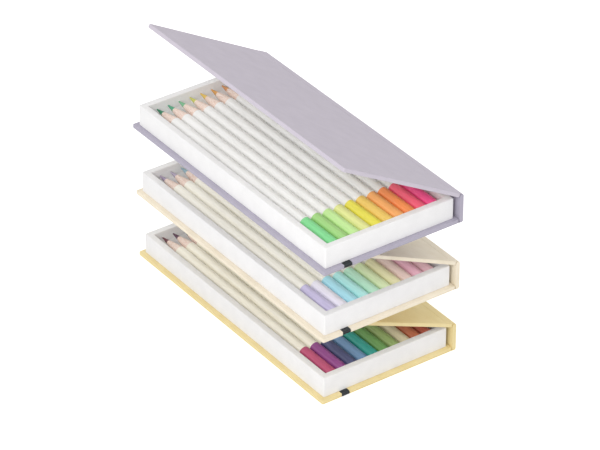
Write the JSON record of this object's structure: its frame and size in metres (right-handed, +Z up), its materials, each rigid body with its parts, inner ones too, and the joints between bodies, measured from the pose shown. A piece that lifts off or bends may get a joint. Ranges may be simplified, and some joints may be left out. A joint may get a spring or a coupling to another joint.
{
  "type": "book-style pencil box stack",
  "caption": "Book-style pencil boxes one above another, each a shallow white tray of round pencils in a hinged board case with its cover ajar and an elastic round the base.",
  "frame": {"origin": "middle of the whole stack's outline seen from above, on the table", "axes": "+X along the pencils towards their dipped ends, +Y from the opening side to the spines, +Z up"},
  "size_m": [0.222, 0.1174, 0.1793],
  "materials": {
    "lavender_board": "matte",
    "cream_board": "matte",
    "yellow_board": "matte",
    "white_tray": "matte",
    "dark_elastic": "matte",
    "white_lacquer": "gloss",
    "ivory_lacquer": "satin",
    "cream_lacquer": "satin"
  },
  "bodies": {
    "bottom_box": {"bottom_base_board": "yellow_board", "bottom_spine_board": "yellow_board", "bottom_elastic_band": "dark_elastic", "bottom_tray_floor": "white_tray", "bottom_tray_opening_wall": "white_tray", "bottom_tray_spine_wall": "white_tray", "bottom_tray_tip_wall": "white_tray", "bottom_tray_dip_wall": "white_tray"},
    "middle_box": {"middle_base_board": "cream_board", "middle_spine_board": "cream_board", "middle_elastic_band": "dark_elastic", "middle_tray_floor": "white_tray", "middle_tray_opening_wall": "white_tray", "middle_tray_spine_wall": "white_tray", "middle_tray_tip_wall": "white_tray", "middle_tray_dip_wall": "white_tray"},
    "top_box": {"top_base_board": "lavender_board", "top_elastic_band": "dark_elastic", "top_tray_floor": "white_tray", "top_tray_opening_wall": "white_tray", "top_tray_spine_wall": "white_tray", "top_tray_tip_wall": "white_tray", "top_tray_dip_wall": "white_tray"},
    "top_spine": {"top_spine_board": "lavender_board"},
    "bottom_cover": {"bottom_cover_board": "yellow_board"},
    "middle_cover": {"middle_cover_board": "cream_board"},
    "top_cover": {"top_cover_board": "lavender_board"},
    "bottom_pencil_01": {"bottom_pencil_01": "cream_lacquer"},
    "bottom_pencil_02": {"bottom_pencil_02": "cream_lacquer"},
    "bottom_pencil_03": {"bottom_pencil_03": "cream_lacquer"},
    "bottom_pencil_04": {"bottom_pencil_04": "cream_lacquer"},
    "bottom_pencil_05": {"bottom_pencil_05": "cream_lacquer"},
    "bottom_pencil_06": {"bottom_pencil_06": "cream_lacquer"},
    "bottom_pencil_07": {"bottom_pencil_07": "cream_lacquer"},
    "bottom_pencil_08": {"bottom_pencil_08": "cream_lacquer"},
    "bottom_pencil_09": {"bottom_pencil_09": "cream_lacquer"},
    "bottom_pencil_10": {"bottom_pencil_10": "cream_lacquer"},
    "middle_pencil_01": {"middle_pencil_01": "ivory_lacquer"},
    "middle_pencil_02": {"middle_pencil_02": "ivory_lacquer"},
    "middle_pencil_03": {"middle_pencil_03": "ivory_lacquer"},
    "middle_pencil_04": {"middle_pencil_04": "ivory_lacquer"},
    "middle_pencil_05": {"middle_pencil_05": "ivory_lacquer"},
    "middle_pencil_06": {"middle_pencil_06": "ivory_lacquer"},
    "middle_pencil_07": {"middle_pencil_07": "ivory_lacquer"},
    "middle_pencil_08": {"middle_pencil_08": "ivory_lacquer"},
    "middle_pencil_09": {"middle_pencil_09": "ivory_lacquer"},
    "middle_pencil_10": {"middle_pencil_10": "ivory_lacquer"},
    "top_pencil_01": {"top_pencil_01": "white_lacquer"},
    "top_pencil_02": {"top_pencil_02": "white_lacquer"},
    "top_pencil_03": {"top_pencil_03": "white_lacquer"},
    "top_pencil_04": {"top_pencil_04": "white_lacquer"},
    "top_pencil_05": {"top_pencil_05": "white_lacquer"},
    "top_pencil_06": {"top_pencil_06": "white_lacquer"},
    "top_pencil_07": {"top_pencil_07": "white_lacquer"},
    "top_pencil_08": {"top_pencil_08": "white_lacquer"},
    "top_pencil_09": {"top_pencil_09": "white_lacquer"},
    "top_pencil_10": {"top_pencil_10": "white_lacquer"}
  },
  "joints": [
    {"name": "bottom_cover_hinge", "type": "hinge", "parent": "bottom_box", "child": "bottom_cover", "pos_m": [-0.01556, 0.0575, 0.0172], "axis": [-1, 0, 0], "range_deg": [-23, 0]},
    {"name": "middle_cover_hinge", "type": "hinge", "parent": "middle_box", "child": "middle_cover", "pos_m": [-0.00082, 0.04717, 0.07269], "axis": [-1, 0, 0], "range_deg": [-25, 0]},
    {"name": "top_cover_hinge", "type": "hinge", "parent": "top_spine", "child": "top_cover", "pos_m": [0.01556, 0.0357, 0.13117], "axis": [-1, 0, 0], "range_deg": [-30, 60]},
    {"name": "top_spine_hinge", "type": "hinge", "parent": "top_box", "child": "top_spine", "pos_m": [0.01556, 0.0357, 0.11517], "axis": [-1, 0, 0], "range_deg": [0, 90]},
    {"name": "middle_box_lift", "type": "slide", "parent": "bottom_box", "child": "middle_box", "axis": [0, 0, 1], "range_m": [0, 0.06]},
    {"name": "top_box_lift", "type": "slide", "parent": "middle_box", "child": "top_box", "axis": [0, 0, 1], "range_m": [0, 0.06]},
    {"name": "tray_bottom_pencil_01_lift", "type": "slide", "parent": "bottom_box", "child": "bottom_pencil_01", "axis": [0, 0, 1], "range_m": [0, 0.016]},
    {"name": "tray_bottom_pencil_02_lift", "type": "slide", "parent": "bottom_box", "child": "bottom_pencil_02", "axis": [0, 0, 1], "range_m": [0, 0.016]},
    {"name": "tray_bottom_pencil_03_lift", "type": "slide", "parent": "bottom_box", "child": "bottom_pencil_03", "axis": [0, 0, 1], "range_m": [0, 0.016]},
    {"name": "tray_bottom_pencil_04_lift", "type": "slide", "parent": "bottom_box", "child": "bottom_pencil_04", "axis": [0, 0, 1], "range_m": [0, 0.016]},
    {"name": "tray_bottom_pencil_05_lift", "type": "slide", "parent": "bottom_box", "child": "bottom_pencil_05", "axis": [0, 0, 1], "range_m": [0, 0.016]},
    {"name": "tray_bottom_pencil_06_lift", "type": "slide", "parent": "bottom_box", "child": "bottom_pencil_06", "axis": [0, 0, 1], "range_m": [0, 0.016]},
    {"name": "tray_bottom_pencil_07_lift", "type": "slide", "parent": "bottom_box", "child": "bottom_pencil_07", "axis": [0, 0, 1], "range_m": [0, 0.015]},
    {"name": "tray_bottom_pencil_08_lift", "type": "slide", "parent": "bottom_box", "child": "bottom_pencil_08", "axis": [0, 0, 1], "range_m": [0, 0.012]},
    {"name": "tray_bottom_pencil_09_lift", "type": "slide", "parent": "bottom_box", "child": "bottom_pencil_09", "axis": [0, 0, 1], "range_m": [0, 0.0085]},
    {"name": "tray_bottom_pencil_10_lift", "type": "slide", "parent": "bottom_box", "child": "bottom_pencil_10", "axis": [0, 0, 1], "range_m": [0, 0.0055]},
    {"name": "tray_middle_pencil_01_lift", "type": "slide", "parent": "middle_box", "child": "middle_pencil_01", "axis": [0, 0, 1], "range_m": [0, 0.016]},
    {"name": "tray_middle_pencil_02_lift", "type": "slide", "parent": "middle_box", "child": "middle_pencil_02", "axis": [0, 0, 1], "range_m": [0, 0.016]},
    {"name": "tray_middle_pencil_03_lift", "type": "slide", "parent": "middle_box", "child": "middle_pencil_03", "axis": [0, 0, 1], "range_m": [0, 0.016]},
    {"name": "tray_middle_pencil_04_lift", "type": "slide", "parent": "middle_box", "child": "middle_pencil_04", "axis": [0, 0, 1], "range_m": [0, 0.016]},
    {"name": "tray_middle_pencil_05_lift", "type": "slide", "parent": "middle_box", "child": "middle_pencil_05", "axis": [0, 0, 1], "range_m": [0, 0.016]},
    {"name": "tray_middle_pencil_06_lift", "type": "slide", "parent": "middle_box", "child": "middle_pencil_06", "axis": [0, 0, 1], "range_m": [0, 0.016]},
    {"name": "tray_middle_pencil_07_lift", "type": "slide", "parent": "middle_box", "child": "middle_pencil_07", "axis": [0, 0, 1], "range_m": [0, 0.016]},
    {"name": "tray_middle_pencil_08_lift", "type": "slide", "parent": "middle_box", "child": "middle_pencil_08", "axis": [0, 0, 1], "range_m": [0, 0.013]},
    {"name": "tray_middle_pencil_09_lift", "type": "slide", "parent": "middle_box", "child": "middle_pencil_09", "axis": [0, 0, 1], "range_m": [0, 0.0095]},
    {"name": "tray_middle_pencil_10_lift", "type": "slide", "parent": "middle_box", "child": "middle_pencil_10", "axis": [0, 0, 1], "range_m": [0, 0.006]},
    {"name": "tray_top_pencil_01_lift", "type": "slide", "parent": "top_box", "child": "top_pencil_01", "axis": [0, 0, 1], "range_m": [0, 0.016]},
    {"name": "tray_top_pencil_02_lift", "type": "slide", "parent": "top_box", "child": "top_pencil_02", "axis": [0, 0, 1], "range_m": [0, 0.016]},
    {"name": "tray_top_pencil_03_lift", "type": "slide", "parent": "top_box", "child": "top_pencil_03", "axis": [0, 0, 1], "range_m": [0, 0.016]},
    {"name": "tray_top_pencil_04_lift", "type": "slide", "parent": "top_box", "child": "top_pencil_04", "axis": [0, 0, 1], "range_m": [0, 0.016]},
    {"name": "tray_top_pencil_05_lift", "type": "slide", "parent": "top_box", "child": "top_pencil_05", "axis": [0, 0, 1], "range_m": [0, 0.016]},
    {"name": "tray_top_pencil_06_lift", "type": "slide", "parent": "top_box", "child": "top_pencil_06", "axis": [0, 0, 1], "range_m": [0, 0.016]},
    {"name": "tray_top_pencil_07_lift", "type": "slide", "parent": "top_box", "child": "top_pencil_07", "axis": [0, 0, 1], "range_m": [0, 0.016]},
    {"name": "tray_top_pencil_08_lift", "type": "slide", "parent": "top_box", "child": "top_pencil_08", "axis": [0, 0, 1], "range_m": [0, 0.016]},
    {"name": "tray_top_pencil_09_lift", "type": "slide", "parent": "top_box", "child": "top_pencil_09", "axis": [0, 0, 1], "range_m": [0, 0.0115]},
    {"name": "tray_top_pencil_10_lift", "type": "slide", "parent": "top_box", "child": "top_pencil_10", "axis": [0, 0, 1], "range_m": [0, 0.007]}
  ]
}
